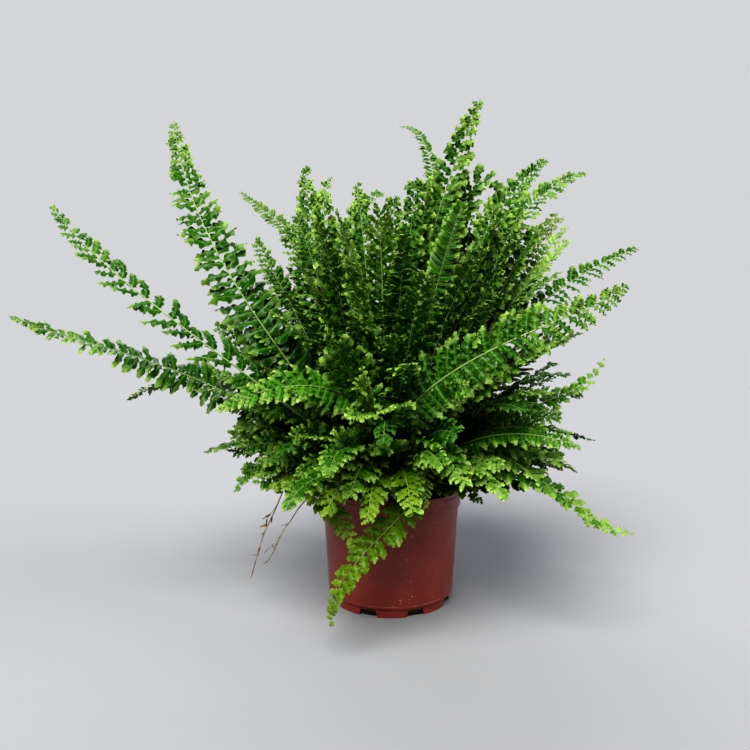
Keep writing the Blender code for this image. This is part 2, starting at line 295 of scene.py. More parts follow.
def fern_midrib(name, green, brown, browning):
    """The midrib's skin: pale green, with a scurf of fine brown hairs that thins towards the tip."""
    material, tree, place = new_material(name)
    scurf = add_node(tree, "TexNoise", {"Vector": place, "Scale": PER_MM, "Detail": 3})
    along = add_node(tree, "Attribute", out="Fac", attribute_name="along")
    thinning = {"Value": along, "From Min": 0.02, "From Max": 0.55, "To Min": browning}
    thinning["To Max"] = browning * 0.1
    hairs = {"Value": scurf, "From Min": 0.36, "From Max": 0.62}
    hairs["To Max"] = add_node(tree, "MapRange", thinning)
    scurfy = {SHARE: add_node(tree, "MapRange", hairs), FIRST: linear(green), SECOND: linear(brown)}
    tone = add_node(tree, "Mix", scurfy, **OF_COLOURS)
    relief = add_node(tree, "Bump", {"Height": scurf, "Distance": 0.2 * MM, "Strength": 0.6})
    skin = add_node(tree, "BsdfPrincipled", {"Base Color": tone, "Roughness": 0.45, "Normal": relief})
    add_node(tree, "OutputMaterial", {"Surface": skin})
    return material


# The shade leaf is a darker copy of the mature leaf, and it paints shade into the fronds that take it.
LEAVES = {
    "mature": fern_leaf("mature_fern_leaf", "#094203", "#2c6204", "#aacc66", "#42900a"),
    "shade": fern_leaf("painted_shade_fern_leaf", "#012c03", "#104805", "#5a8838", "#24740c"),
    "young": fern_leaf("young_fern_leaf", "#1a5a02", "#3c7a06", "#bcd47c", "#5aa00e"),
    "fresh": fern_leaf("fresh_fern_leaf", "#385c04", "#587a08", "#94b04a", "#6c920c"),
    "dusty": fern_leaf("dusty_fern_leaf", "#22480c", "#466c20", "#a3bc6c", "#78a030"),
}
# The dark midrib is a darker copy of the midrib, and like the shade leaf it paints shade.
MIDRIBS = {
    "pale": fern_midrib("pale_fern_midrib", "#7e9a5c", "#5a4a2c", 0.75),
    "brown": fern_midrib("scurfy_fern_midrib", "#6f7a3c", "#4d3820", 0.9),
    "dark": fern_midrib("painted_shade_fern_midrib", "#26301a", "#15110b", 0.9),
}
print("leaf materials:", ", ".join(m.name for m in LEAVES.values()))

# %% [markdown]
# ## Where each frond runs
#
# The CAD model holds every frond as a toothed strip lofted through rings of four points. Those rings say
# where the midrib runs and which way the blade faces, so the detailed frond is grown on them and can't
# drift away from the model. The rings are found by walking out from the crown, one ring at a time.

# %% Reading a frond's midrib
CROWN_HEART = Vector((0, 0, crown_low.z))
BLADE_LEAST = 2 * MM  # a ring narrower than this says nothing about which way the blade faces
BLADE_RING = 2  # the ring on which a blade starts


def rings_of(node, corners=4):
    """The rings of a solid, from the crown outwards. Each has this many corners."""
    mesh = bmesh.new()
    mesh.from_mesh(frame["nodes"][node].data)
    bmesh.ops.remove_doubles(mesh, verts=mesh.verts, dist=0.02 * MM)
    first = sorted(mesh.verts, key=lambda v: (v.co - CROWN_HEART).length)[:corners]
    rings, seen = [first], set(first)
    while following := {e.other_vert(v) for v in rings[-1] for e in v.link_edges} - seen:
        rings.append(list(following))
        seen |= following
    places = [np.array([tuple(v.co) for v in ring]) for ring in rings]
    mesh.free()
    return places


def unit(vectors):
    """These vectors at length one."""
    return vectors / np.linalg.norm(vectors, axis=-1, keepdims=True).clip(1e-9)


def midrib_of(node):
    """A frond's midrib, its upward direction and its half width at each of its rings."""
    places, ups, halves = [], [], []
    for corners in rings_of(node):
        gaps = np.linalg.norm(corners[:, None] - corners[None], axis=2)
        a, b = np.unravel_index(gaps.argmax(), gaps.shape)
        middle, half = (corners[a] + corners[b]) / 2, gaps.max() / 2
        ridge = sorted(np.delete(corners, [a, b], axis=0), key=lambda c: np.linalg.norm(c - middle))
        places.append(middle)
        halves.append(half)
        ups.append(ridge[0] - ridge[-1] if half > BLADE_LEAST else np.zeros(3))
    ups = np.array(ups)
    blade = np.flatnonzero(np.linalg.norm(ups, axis=1) > 0)
    for i in range(len(ups)):
        ups[i] = ups[blade[np.abs(blade - i).argmin()]]
    return np.array(places), unit(ups), np.array(halves)


# %% A smooth midrib
def smooth_through(points, where):
    """Values of a smooth curve through evenly counted points, at positions in counts."""
    padded = np.vstack([2 * points[0] - points[1], points, 2 * points[-1] - points[-2]])
    start = np.clip(np.floor(where).astype(int), 0, len(points) - 2)
    t = (where - start)[:, None]
    a, b, c, d = (padded[start + k] for k in range(4))
    bend = (2 * a - 5 * b + 4 * c - d) * t**2 + (3 * b - a - 3 * c + d) * t**3
    return b + ((c - a) * t + bend) / 2


def blend_between(share, shares, rows):
    """Rows of numbers read off at any share of the way."""
    return np.stack([np.interp(share, shares, rows[:, k]) for k in range(rows.shape[1])], -1)


class Midrib:
    """A midrib as a smooth curve that can be asked for any share of its length."""

    FINE = 160  # places along the smooth curve
    STEP = 0.004  # share of the length on either side that a tangent is taken over

    def __init__(self, places, ups, outline, blade_start):
        counts = np.linspace(0, len(places) - 1, self.FINE)
        self.places = smooth_through(places, counts)
        self.ups = smooth_through(ups, counts)
        steps = np.linalg.norm(np.diff(self.places, axis=0), axis=1)
        self.length = steps.sum()
        self.shares = np.concatenate([[0], np.cumsum(steps)]) / self.length
        ring_shares = np.interp(np.arange(len(places)), counts, self.shares)
        self.blade_start = ring_shares[blade_start]
        self.outline = (ring_shares[[i for i, _ in outline]], np.array([half for _, half in outline]))

    def at(self, share):
        """Places, tangents, ups and sides at these shares of the length."""
        place = blend_between(share, self.shares, self.places)
        ahead = blend_between(share + self.STEP, self.shares, self.places)
        tangent = unit(ahead - blend_between(share - self.STEP, self.shares, self.places))
        up = blend_between(share, self.shares, self.ups)
        up = unit(up - tangent * (up * tangent).sum(-1, keepdims=True))
        return place, tangent, up, np.cross(tangent, up)

    def half_width(self, share):
        """Half the blade's width at these shares."""
        return np.interp(share, *self.outline)


def midrib_from_model(node):
    """A midrib and its outline, from the outer corners of the solid's teeth."""
    places, ups, halves = midrib_of(node)
    inner = range(BLADE_RING + 1, len(halves) - 1)
    teeth = [i for i in inner if halves[i] > max(halves[i - 1], halves[i + 1])]
    outline = [(BLADE_RING, halves[teeth[0]] * 0.75)]
    outline += [(i, halves[i]) for i in teeth]
    outline += [(len(halves) - 1, halves[teeth[-1]] * 0.35)]
    return Midrib(places, ups, outline, BLADE_RING)


fronds = {n: midrib_from_model(n) for n in sorted(frame["nodes"]) if n.startswith("frond_")}
lengths = [round(rib.length / MM) for rib in fronds.values()]
print(len(fronds), "fronds,", min(lengths), "to", max(lengths), "mm long")

# %% [markdown]
# ## One leaflet
#
# A leaflet is a small strip with an edge of rounded lobes, folded along its vein and waved between them.
# It could be a flat card with a picture of a leaf, but then its edge would be straight from the side and
# it would have no thickness. Here it is a thin closed skin: a grid of points along and across, lifted in
# the middle, with an upper and a lower face that meet at the rim. Four rows of points make one lobe, so
# that each notch and each rounded end falls on a row. All the leaflets of a frond are worked out in one
# go, as arrays with one row for each leaflet.

# %% The leaflet's grid
ROWS_PER_LOBE = 4
ACROSS_POINTS = 5
LEAF_THICKNESS = 0.22 * MM


def leaflet_rows(lobes):
    """Rows of points along a leaflet, which ends on the shoulder of its last lobe."""
    return lobes * ROWS_PER_LOBE - 1


def leaflet_grid(lobes):
    """Faces of one leaflet. Its points are the upper grid, then the inside of the lower grid."""
    rows = leaflet_rows(lobes)
    upper = np.arange(rows * ACROSS_POINTS).reshape(rows, ACROSS_POINTS)
    lower = upper.copy()
    inside = (rows - 2) * (ACROSS_POINTS - 2)
    lower[1:-1, 1:-1] = upper.size + np.arange(inside).reshape(rows - 2, ACROSS_POINTS - 2)
    faces = []
    for i in range(rows - 1):
        for j in range(ACROSS_POINTS - 1):
            faces.append((upper[i, j], upper[i, j + 1], upper[i + 1, j + 1], upper[i + 1, j]))
            faces.append((lower[i, j], lower[i + 1, j], lower[i + 1, j + 1], lower[i, j + 1]))
    return np.array(faces)


def grid_values(lobes):
    """How far along and how far across a leaflet each of its points is."""
    rows = leaflet_rows(lobes)
    along = np.repeat(np.linspace(0, 1, rows)[:, None], ACROSS_POINTS, axis=1)
    across = np.repeat(np.abs(np.linspace(-1, 1, ACROSS_POINTS))[None], rows, axis=0)
    inside = (slice(1, -1), slice(1, -1))
    return [np.concatenate([full.ravel(), full[inside].ravel()]) for full in (along, across)]


print("a seven-lobed leaflet has", len(leaflet_grid(7)), "faces")


# %% The leaflet's shape
def turned_by(angle, first, second):
    """Two square directions, each turned by this angle from the first towards the second."""
    cos, sin = np.cos(angle)[..., None], np.sin(angle)[..., None]
    return cos * first + sin * second, cos * second - sin * first


def leaflets(base, out, ahead, up, length, half, habit, rng):
    """Points of many leaflets, one row each. `out` is the way each grows, `ahead` the way the frond
    runs on, and `up` square to both."""
    count = len(base)

    def each(low, high):
        """A random number for each leaflet."""
        return rng.uniform(low, high, count)[:, None]

    def radians_of(name, low, high):
        """An angle of the habit, which each leaflet has more or less of."""
        return np.radians(habit[name]) * each(low, high)

    lobes = habit["lobes"]
    s = np.linspace(0, 1, leaflet_rows(lobes))[None]
    # The leaflet sweeps forward, arches over, and turns down at its tip.
    level, cross = turned_by(radians_of("forward", 0.5, 1.5) * s, out[:, None], ahead[:, None])
    sag = radians_of("droop", 0.3, 1.7) * s + radians_of("curl", 0.2, 1.4) * s**4
    sag += np.radians(each(-12, 12)) * np.sin(2 * np.pi * (s * each(0.8, 1.6) + each(0, 1)))
    run, below = turned_by(sag, level, -up[:, None])
    cross, above = turned_by(radians_of("twist", -1, 1) * (0.2 + s), cross, -below)
    steps = run * (length[:, None, None] / s.size)
    spine = base[:, None] + np.cumsum(steps, axis=1) - steps
    # It has a short neck, an ear at the base on the leading side, and a blunt or a fanned end.
    neck = np.clip(s / 0.1, 0.25, 1) ** 0.5
    tip = (1 - habit["end"] * s ** habit["blunt"]) ** 0.55
    shape = np.maximum(neck * tip * (1.04 + habit["fan"] * (s - 0.45)), 0.05)
    ear = habit["ear"] * np.exp(-(((s - 0.14) / 0.08) ** 2))
    lobe = np.abs(np.sin(np.pi * np.arange(s.size) / ROWS_PER_LOBE))[None] ** 0.5
    reaches = np.linspace(-1, 1, ACROSS_POINTS)
    offset = np.zeros((count, s.size, ACROSS_POINTS, 3))
    for j, reach in enumerate(reaches):
        depth = habit["cut"] * each(0.75, 1.2)
        edge = shape * (1 - depth * (1 - lobe)) + (ear if reach > 0 else 0)
        wide = half[:, None] * edge * reach
        wave = np.sin(2 * np.pi * (lobes * 0.45 * s + each(0, 1)))
        ripple = np.sin(2 * np.pi * (lobes * s + each(-0.12, 0.12)))
        lift = abs(reach) * np.tan(np.radians(habit["fold"])) - 0.22 * abs(reach) ** 3
        lift = lift + abs(reach) ** 1.6 * habit["ruffle"] * (wave + 0.25 * ripple)
        rounding = 0.3 * np.sin(np.pi * reach) ** 2 - 0.55 * reach**2
        swept = half[:, None] * (habit["sweep"] * abs(reach) * lobe * (1 - s) + rounding * s**6)
        offset[:, :, j] = (
            cross * wide[..., None]
            + above * (half[:, None] * shape * lift)[..., None]
            + run * swept[..., None]
        )
    upper = spine[:, :, None] + offset
    thick = LEAF_THICKNESS * (1 - 0.5 * reaches[1:-1] ** 2)[None, None, :, None]
    lower = upper[:, 1:-1, 1:-1] - above[:, 1:-1, None] * thick
    return np.concatenate([upper.reshape(count, -1, 3), lower.reshape(count, -1, 3)], axis=1)


# %% [markdown]
# ## A whole frond
#
# The midrib is a tapering six-sided tube. Leaflets sit along it in two rows, opposite or a little
# staggered, each pointing out and somewhat forward, and closer together towards the tip. How far apart
# they stand, how much they curl and how pale they are is the frond's habit, which differs from one frond
# to the next on a real plant.

# %% The usual habit
USUAL = {
    "spacing": 6.6,  # mm between leaflets on one side, low on the frond
    "crowding": 0.3,  # how much closer they stand at the tip
    "angle": 74,  # degrees between leaflet and midrib
    "lift": 12,  # degrees the leaflets rise above the blade
    "skyward": 0.42,  # how far each turns its upper side to the sky
    "forward": 22,
    "droop": 26,
    "curl": 60,
    "twist": 20,
    "fold": -10,  # below zero, the rims turn down
    "ruffle": 0.38,
    "sweep": 0.12,  # how far lobes lean to the leaflet's tip
    "cut": 0.36,  # how deep the notches between lobes are
    "lobes": 7,
    "reach": 1.0,  # length of the leaflets as a share of the model's outline
    "plump": 0.46,  # half width of a leaflet as a share of the spacing
    "blunt": 5.0,
    "end": 0.85,  # how far its end narrows
    "fan": 0.15,  # how much wider its end is than its base
    "ear": 0.3,
    "least": 0,  # mm, shortest leaflet before the tip
    "youth": 0.32,
    "rib_radius": 0.66,  # mm, at the foot of the blade
    "leaf": "mature",
    "rib": "pale",
}
FANNED = dict(
    spacing=7.8, least=8, reach=1.15, plump=0.46, lobes=5, cut=0.36, fan=0.7, end=0.55, blunt=7,
    lift=18, skyward=0.2, forward=32, droop=10, curl=36, fold=6, ruffle=0.45,
)
SMALL = dict(spacing=4.8, plump=0.56, lobes=2, cut=0.15, fan=0.4, end=0.7, blunt=6, curl=70, ruffle=0.2)
HABITS = {
    "left_tall": dict(
        spacing=6.2, crowding=0.36, least=5, reach=1.1, plump=0.6, lobes=5, cut=0.26, end=0.7, blunt=7,
        twist=24, curl=46, ruffle=0.44, youth=0.32,
    ),
    "left_mid": dict(
        spacing=10, reach=1.1, plump=0.3, lobes=8, cut=0.5, ear=0.5, end=0.97, blunt=3, forward=60, curl=24,
        twist=12, skyward=0.1, youth=0.3,
    ),
    "left_low": dict(
        spacing=5.8, least=4, reach=1.25, plump=0.48, lobes=4, end=0.7, angle=80, forward=10, curl=50,
        youth=0.32,
    ),
    "left_under": dict(spacing=5, least=3, reach=1.2, plump=0.46, lobes=3, youth=0.4, rib="brown"),
    "left_bright": dict(spacing=6, youth=0.35, leaf="young"),
    "back_left": dict(SMALL, youth=0.3, leaf="dusty"),
    "hook": dict(SMALL, spacing=4, least=2.8, reach=0.85, plump=0.66, youth=0.3),
    "top": dict(FANNED, youth=0.36),
    "up_left": dict(FANNED, youth=0.36),
    "up_left_short": dict(FANNED, youth=0.4),
    "up_middle": dict(FANNED, youth=0.34),
    "up_middle_back": dict(FANNED, youth=0.32),
    "right_up": dict(spacing=5.6, lobes=5, fan=0.5, end=0.6, lift=22, youth=0.36),
    "right_up_back": dict(FANNED, youth=0.3),
    "right_big": dict(
        spacing=6.6, plump=0.46, lobes=8, cut=0.5, ruffle=0.55, fold=4, youth=0.38, rib_radius=0.85
    ),
    "right": dict(spacing=6.4, skyward=0.8),
    # These two fronds take the shade leaf and the dark midrib, which paint the shade that falls on them.
    "right_dark": dict(spacing=9, plump=0.32, lobes=7, cut=0.5, leaf="shade", rib="dark"),
    "right_flat": dict(spacing=8, plump=0.34, lobes=6, cut=0.4, leaf="shade", rib="dark"),
    "right_curl": dict(spacing=8, lobes=4, cut=0.35, youth=0.4, leaf="young"),
    "right_pale": dict(youth=0.75, leaf="young"),
    "right_pale_back": dict(youth=0.6),
    "right_low": dict(spacing=8, lobes=4, youth=0.46),
    "rim_right": dict(lobes=4, rib="brown"),
    "front_hang": dict(
        spacing=6.6, lobes=5, fan=0, ruffle=0.3, lift=2, droop=8, skyward=0, leaf="fresh", rib="brown",
        rib_radius=0.5,
    ),
    "front_hang_short": dict(spacing=6, lobes=5, ruffle=0.25, youth=0.55, leaf="fresh", rib_radius=0.5),
    # This frond's dark midrib paints shade.
    "front_dark": dict(spacing=6.5, youth=0.45, leaf="young", rib="dark"),
    "front_fine": dict(spacing=4.2, plump=0.34, lobes=4, curl=30, youth=0.6),
}


def habit_of(node):
    """A frond's whole habit. One without a habit of its own has the usual one."""
    return {**USUAL, **HABITS.get(node.removeprefix("frond_"), {})}


# %% Building a frond
RIB_SIDES = 6
RIB_PARTS = 60
LEAF_CREASE = math.radians(70)  # edges that bend more than this stay sharp


def tube(places, ups, sides, radii):
    """Points and four-cornered faces of a closed six-sided tube through these places."""
    turn = np.linspace(0, 2 * np.pi, RIB_SIDES, endpoint=False)[None, :, None]
    ring = np.cos(turn) * sides[:, None] + np.sin(turn) * ups[:, None]
    points = (places[:, None] + ring * radii[:, None, None]).reshape(-1, 3)
    a = np.arange(RIB_SIDES)
    b = (a + 1) % RIB_SIDES
    quad = np.stack([a, a + RIB_SIDES, b + RIB_SIDES, b], axis=1)
    first = np.array([(0, 1, 2, 3), (0, 3, 4, 5)])
    last = first[:, ::-1] + (len(places) - 1) * RIB_SIDES
    return points, np.concatenate([*(quad + i * RIB_SIDES for i in range(len(places) - 1)), first, last])


def leaflet_places(rib, habit, rng):
    """Shares of the midrib where leaflets sit, the side each is on, and the room it has."""
    blade = rib.length * (1 - rib.blade_start)
    pairs = max(6, round(blade / (habit["spacing"] * MM) / (1 - habit["crowding"] / 2)))
    even = (np.arange(pairs) + 0.35) / pairs
    crowded = even * (1 + habit["crowding"]) - habit["crowding"] * even**2
    room = (1 + habit["crowding"] * (1 - 2 * even)) * blade / pairs
    shares, signs = [], []
    for sign in (-1, 1):
        shift = (0.2 * sign + rng.uniform(-0.12, 0.12, pairs)) / pairs
        shares.append(rib.blade_start + (1 - rib.blade_start) * np.clip(crowded + shift, 0, 0.985))
        signs.append(np.full(pairs, sign))
    return np.concatenate(shares), np.concatenate(signs), np.concatenate([room, room])


def rib_radius(habit, share):
    """The midrib's radius at shares of its length. It tapers to the tip."""
    return habit["rib_radius"] * MM * (1.15 - 0.95 * share)


def turned_skyward(out, ahead, above, amount):
    """A leaflet's frame turned about its own length, so that its upper side looks more to the sky."""
    to_sky = np.arctan2(ahead[:, 2], above[:, 2]) * np.minimum(1, np.hypot(ahead[:, 2], above[:, 2]) * 1.3)
    above, ahead = turned_by(to_sky * amount, above, ahead)
    return ahead, above


def is_mirrored(out, ahead, above):
    """Which leaflets have their frame the other way round, so that their faces have to be turned."""
    return np.einsum("ij,ij->i", np.cross(out, ahead), above) < 0


def leaflet_cloud(rib, habit, rng):
    """Points of all a frond's leaflets, their youth with painted shade near the crown, and which are
    mirrored.
    """
    share, sign, room = leaflet_places(rib, habit, rng)
    count = len(share)
    place, tangent, up, side = rib.at(share)
    near_tip = (share - rib.blade_start) / (1 - rib.blade_start)
    angle = np.radians(habit["angle"] - 26 * near_tip**3 + rng.uniform(-10, 10, count))
    lift = np.radians(habit["lift"] + rng.uniform(-15, 15, count))
    flat = np.cos(angle)[:, None] * tangent + np.sin(angle)[:, None] * side * sign[:, None]
    out, above = turned_by(lift, flat, up)
    ahead = np.cross(out, above)
    ahead *= np.sign((ahead * tangent).sum(-1, keepdims=True))
    ahead, above = turned_skyward(out, ahead, above, habit["skyward"])
    least = habit["least"] * MM * np.clip(3.4 - 3 * near_tip, 0.3, 1)
    length = np.maximum(habit["reach"] * rib.half_width(share) / np.sin(angle), least)
    length = length * rng.uniform(0.86, 1.14, count)
    half = np.minimum(room * habit["plump"], length * 0.4)
    half = half * rng.uniform(0.85, 1.15, count)
    base = place + (flat * 0.3 + up * 0.2) * rib_radius(habit, share)[:, None]
    cloud = leaflets(base, out, ahead, above, length, half, habit, rng)
    # Youth rises towards the frond's tip as young growth, and falls towards the crown as painted shade for
    # the plant's dark heart.
    youth = habit["youth"] - 0.28 * (1 - near_tip) ** 2 + 0.3 * near_tip**2
    return cloud, youth + rng.uniform(-0.12, 0.12, count), is_mirrored(out, ahead, above)


def frond_mesh(name, ribs, habit, rng):
    """A mesh of one or more midribs and their leaflets, with the values that the materials read."""
    grid = leaflet_grid(habit["lobes"])
    along, across = grid_values(habit["lobes"])
    share = np.concatenate([[0], np.linspace(0.03, 1, RIB_PARTS)])
    points, faces, slots = [], [], []
    values = {"along": [], "across": [], "youth": []}
    count = 0
    for rib in ribs:
        cloud, youth, mirrored = leaflet_cloud(rib, habit, rng)
        place, _, up, side = rib.at(share)
        stalk, stalk_faces = tube(place, up, side, rib_radius(habit, share))
        starts = count + len(stalk) + np.arange(len(cloud)) * cloud.shape[1]
        quads = grid[None] + starts[:, None, None]
        quads[mirrored] = quads[mirrored][:, :, ::-1]
        points += [stalk, cloud.reshape(-1, 3)]
        faces += [stalk_faces + count, quads.reshape(-1, 4)]
        slots += [np.zeros(len(stalk_faces), np.int32), np.ones(quads.size // 4, np.int32)]
        values["along"] += [np.repeat(share, RIB_SIDES), np.tile(along, len(cloud))]
        values["across"] += [np.zeros(len(stalk)), np.tile(across, len(cloud))]
        values["youth"] += [np.zeros(len(stalk)), np.repeat(youth.clip(0, 1), cloud.shape[1])]
        count += len(stalk) + cloud.size // 3
    skins = MIDRIBS[habit["rib"]], LEAVES[habit["leaf"]]
    values = {key: np.concatenate(numbers) for key, numbers in values.items()}
    mesh = new_mesh(name, np.concatenate(points), np.concatenate(faces).tolist(), skins, **values)
    mesh.polygons.foreach_set("material_index", np.concatenate(slots))
    mesh.set_sharp_from_angle(angle=LEAF_CREASE)
    return mesh


for number, (node, rib) in enumerate(fronds.items()):
    leafy = frond_mesh(f"leafy_{node}", [rib], habit_of(node), np.random.default_rng(100 + number))
    show(f"leafy_{node}", leafy, [node])
faces = sum(len(o.data.polygons) for o in bpy.data.objects if o.name.startswith("leafy_"))
print(len(fronds), "fronds with", faces, "faces")

# %% [markdown]
# ## The thicket inside
#
# The model holds the fronds that reach out of the plant. Between them a real fern is packed with shorter,
# younger ones, which fill its heart up to a round outline. Their tips could be scattered at random, but
# chance leaves bald patches. Here each next frond stands a golden angle further round the crown, as many
# plants grow, and reaches for that outline, setting out steeply and bending over under its own weight.


# %% The outline that the thicket fills
CROWN_RADIUS = crown_high.x
CROWN_HEIGHT = crown_high.z - crown_low.z
THICKET_MIDDLE = np.array([9 * MM, 0, crown_low.z])
THICKET_REACH = 112 * MM  # how far its tips reach sideways
THICKET_HEIGHT = 204 * MM  # and upwards
SQUARENESS = 3.2  # 2 would make the outline an ellipse, and more fills out its shoulders
GOLDEN_ANGLE = 137.508
RIB_STATIONS = 24


def crown_point(heading, polar):
    """A place on the crown's dome, for angles in degrees round from +X and down from the top."""
    h, p = math.radians(heading), math.radians(polar)
    flat = CROWN_RADIUS * math.sin(p)
    return np.array([flat * math.cos(h), flat * math.sin(h), crown_low.z + CROWN_HEIGHT * math.cos(p)])


def outline_point(heading, rise):
    """Where a straight way from the thicket's middle meets its outline."""
    h, r = math.radians(heading), math.radians(rise)
    level, upright = math.cos(r) / THICKET_REACH, math.sin(r) / THICKET_HEIGHT
    far = (level**SQUARENESS + upright**SQUARENESS) ** (-1 / SQUARENESS)
    way = np.array([math.cos(r) * math.cos(h), math.cos(r) * math.sin(h), math.sin(r)])
    return THICKET_MIDDLE + far * way


def reaching_midrib(heading, rise, tip, bow, face, half_width):
    """A midrib from the crown to this tip, arched by its bow and turned to the front by its face."""
    share = np.linspace(0, 1, RIB_STATIONS)[:, None]
    start = crown_point(heading, min(65, max(5, 90 - rise)))
    corner = (start + tip) / 2 + np.array([0, 0, bow]) * np.linalg.norm(tip - start)
    places = (1 - share) ** 2 * start + 2 * share * (1 - share) * corner + share**2 * tip
    tangent = unit((1 - share) * (corner - start) + share * (tip - corner))
    up = np.cross(unit(np.cross(tangent, [0, 0, 1]) + 1e-6), tangent)
    front = np.array([0, -np.sign(face), 0])
    front = front - tangent * (tangent @ front)[:, None]
    up = unit(up * (1 - abs(face)) + front * abs(face))
    spread = half_width * np.minimum(1, 0.5 + 2 * share[:, 0]) * (1 - 0.75 * share[:, 0] ** 3)
    blade_start = 3
    outline = [(i, spread[i]) for i in range(blade_start, RIB_STATIONS)]
    return Midrib(places, up, outline, blade_start)


# %% Growing the thicket
# The shaded kinds take the shade leaf, which paints shade into the thicket.
THICKET_HABITS = {
    "low": {
        "broad": dict(youth=0.3, lobes=5, spacing=6),
        "shaded": dict(youth=0.4, lobes=5, spacing=5.6, leaf="shade", rib="brown"),
        "small": dict(SMALL, youth=0.4, spacing=4.6),
        "toothed": dict(youth=0.35, lobes=6, spacing=5),
    },
    "middle": {
        "slim": dict(youth=0.25, lobes=6, spacing=5.4, plump=0.36),
        "shaded": dict(youth=0.4, lobes=5, spacing=5, leaf="shade"),
        "ruffled": dict(youth=0.35, lobes=5, spacing=5.8, ruffle=0.6, fan=0.4, end=0.6),
        "toothed": dict(youth=0.3, lobes=6, spacing=5),
    },
    "high": {
        "fanned": dict(FANNED, youth=0.24, fan=0.5, plump=0.36),
        "fine": dict(SMALL, youth=0.24, spacing=4.2),
        "young": dict(FANNED, youth=0.36, fan=0.6, spacing=6, plump=0.36),
        "toothed": dict(youth=0.3, lobes=6, spacing=5),
    },
}
SHEAVES_PER_HABIT = 2
FRONDS_PER_SHEAF = 6
THICKET_RIB = 0.7  # mm, at the foot of the blade


def add_thicket():
    """Sheaves of fronds, each sheaf one piece. Returns how many fronds there are."""
    rng = np.random.default_rng(7)
    sheaves = [
        (f"{layer}_{kind}_sheaf_{j + 1}", habit)
        for layer, habits in THICKET_HABITS.items()
        for j in range(SHEAVES_PER_HABIT)
        for kind, habit in habits.items()
    ]
    count = len(sheaves) * FRONDS_PER_SHEAF
    ribs = []
    for i in range(count):
        heading = GOLDEN_ANGLE * i + rng.uniform(-10, 10)
        rise = math.degrees(math.asin(0.12 + 0.87 * (i + 0.5) / count))
        tip = outline_point(heading, rise)
        tip = THICKET_MIDDLE + (tip - THICKET_MIDDLE) * rng.uniform(0.84, 1.0)
        # Those in front bow over more and turn their upper sides outward, to the light.
        frontward = -math.sin(math.radians(heading))
        bow = rng.uniform(0.05, 0.3) + 0.25 * max(0, frontward)
        bow = bow * math.cos(math.radians(rise)) + rng.uniform(-0.04, 0.04)
        face = rng.uniform(-0.4, 0.45) + 0.45 * frontward
        ribs.append(reaching_midrib(heading, rise, tip, bow, face, rng.uniform(11, 17) * MM))
    # The fronds come from the lowest to the steepest, and each layer shares its own out to its sheaves.
    in_layer = len(sheaves) // len(THICKET_HABITS)
    for k, (name, habit) in enumerate(sheaves):
        lowest = k // in_layer * in_layer * FRONDS_PER_SHEAF
        sheaf = ribs[lowest + k % in_layer :: in_layer][:FRONDS_PER_SHEAF]
        full = {**USUAL, **habit, "rib_radius": THICKET_RIB}
        show(name, frond_mesh(name, sheaf, full, rng))
    return count


thicket_fronds = add_thicket()
print("thicket:", thicket_fronds, "fronds")

# %% [markdown]
# Even spacing alone gives too neat a ball. A few more fronds stand where the plant is fuller: high up
# among the longest ones, at its left shoulder, low in front, and where pale young ones show, mostly on its
# right. Each is given by where its tip is, in millimetres, then its bow, its face and the half width of its
# blade.

# %% Fuller places
FULLER_PLACES = {
    "upper_sheaf": (
        dict(FANNED, youth=0.26),
        [
            (70, 10, 259, 0.73, 0.5, 14), (14, -12, 264, 0.04, 0.8, 13), (30, 26, 268, 0.02, 0.6, 13),
            (2, 20, 258, 0.02, 0.5, 14), (52, 24, 262, 0.1, 0.5, 14), (84, 16, 254, 0.08, 0.5, 13),
            (22, -6, 262, 0.03, 0.7, 13), (44, 4, 270, 0.03, 0.7, 14), (92, -6, 238, 0.08, 0.5, 13),
            (78, -14, 244, 0.06, 0.6, 14), (64, -10, 250, 0.04, 0.6, 14),
        ],
    ),
    "left_shoulder_sheaf": (
        dict(youth=0.3, lobes=5, spacing=5.4),
        [
            (-78, 0, 216, 0.1, 0.7, 14), (-66, -14, 236, 0.06, 0.8, 13), (-96, -12, 184, 0.16, 0.7, 14),
            (-104, 10, 160, 0.2, 0.4, 13), (-84, -8, 228, 0.06, 0.7, 13), (-96, -4, 206, 0.1, 0.7, 14),
            (-58, -16, 244, 0.04, 0.8, 13), (-110, -8, 176, 0.2, 0.6, 12), (-112, -6, 146, 0.22, 0.5, 12),
            (-106, -20, 128, 0.25, 0.6, 12), (-98, 6, 112, 0.25, 0.4, 12),
        ],
    ),
    "front_left_sheaf": (
        dict(youth=0.35, lobes=5, spacing=5.4),
        [
            (-72, -70, 102, 0.3, 0.6, 13), (-50, -86, 98, 0.3, 0.7, 13), (-86, -48, 106, 0.3, 0.6, 13),
            (-26, -92, 104, 0.3, 0.7, 13), (-62, -64, 84, 0.35, 0.5, 12), (-44, -62, 132, 0.2, 0.8, 12),
            (-30, -100, 122, 0.25, 0.9, 13), (-4, -104, 116, 0.25, 0.9, 13), (-54, -80, 118, 0.3, 0.8, 13),
        ],
    ),
    "front_right_sheaf": (
        dict(youth=0.35, lobes=5, spacing=5.4),
        [
            (18, -92, 106, 0.3, 0.7, 13), (56, -82, 102, 0.3, 0.6, 13), (84, -60, 104, 0.3, 0.6, 13),
            (102, -34, 98, 0.3, 0.5, 13), (66, -66, 128, 0.2, 0.7, 12),
        ],
    ),
    "fresh_front_sheaf": (
        dict(youth=0.36, lobes=5, spacing=6, lift=4, ruffle=0.3, leaf="fresh"),
        [
            (-34, -106, 84, 0.44, 0.6, 14), (-14, -108, 80, 0.46, 0.7, 14), (-50, -92, 88, 0.42, 0.6, 14),
            (8, -104, 84, 0.44, 0.7, 13), (-66, -70, 88, 0.4, 0.5, 13),
        ],
    ),
    "pale_young_sheaf": (
        dict(SMALL, youth=0.45, spacing=6, plump=0.44),
        [
            (106, 12, 248, 0.1, 0.5, 9), (110, 0, 238, 0.12, 0.5, 9), (109, -12, 229, 0.14, 0.5, 9),
            (104, 22, 219, 0.16, 0.5, 9), (-17, -88, 156, 0.0, 0.9, 6),
        ],
    ),
}

